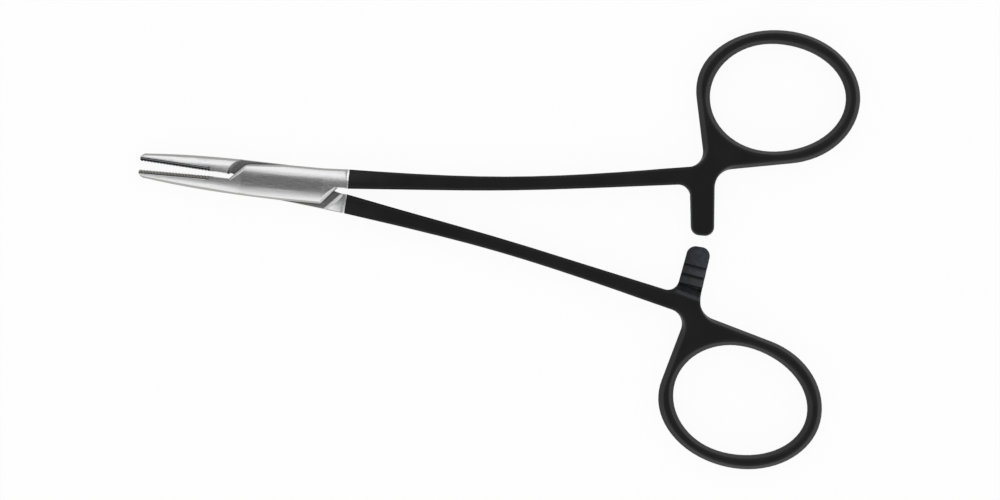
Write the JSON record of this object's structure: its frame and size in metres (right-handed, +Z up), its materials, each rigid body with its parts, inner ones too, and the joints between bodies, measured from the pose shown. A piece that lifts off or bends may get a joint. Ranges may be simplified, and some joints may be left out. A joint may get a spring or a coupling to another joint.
{
  "type": "needle holder",
  "caption": "Box lock needle holder with serrated hard metal jaw inserts, coated shanks, finger rings and a ratchet.",
  "frame": {"origin": "on the pivot axis, in the plane that the box rests on", "axes": "+X from the jaws to the finger rings along the line of the closed jaws, +Y towards the ring of the box half, +Z up along the pivot axis"},
  "size_m": [0.1492, 0.0929, 0.0052],
  "materials": {
    "box_half_steel": "satin steel, matte black coating on the handle",
    "waist_half_steel": "satin steel, matte black coating on the handle",
    "pin_steel": "satin, ground flush",
    "insert_metal": "dark sintered hard metal"
  },
  "bodies": {
    "box_body": {"box_half": "box_half_steel", "pivot_pin": "pin_steel", "lower_jaw_insert": "insert_metal"},
    "waist_body": {"waist_half": "waist_half_steel", "upper_jaw_insert": "insert_metal"}
  },
  "joints": [
    {"name": "box_lock", "type": "hinge", "parent": "box_body", "child": "waist_body", "pos_m": [0, 0, 0.0026], "axis": [0, 0, 1], "range_deg": [-27.7, 3.3]}
  ]
}
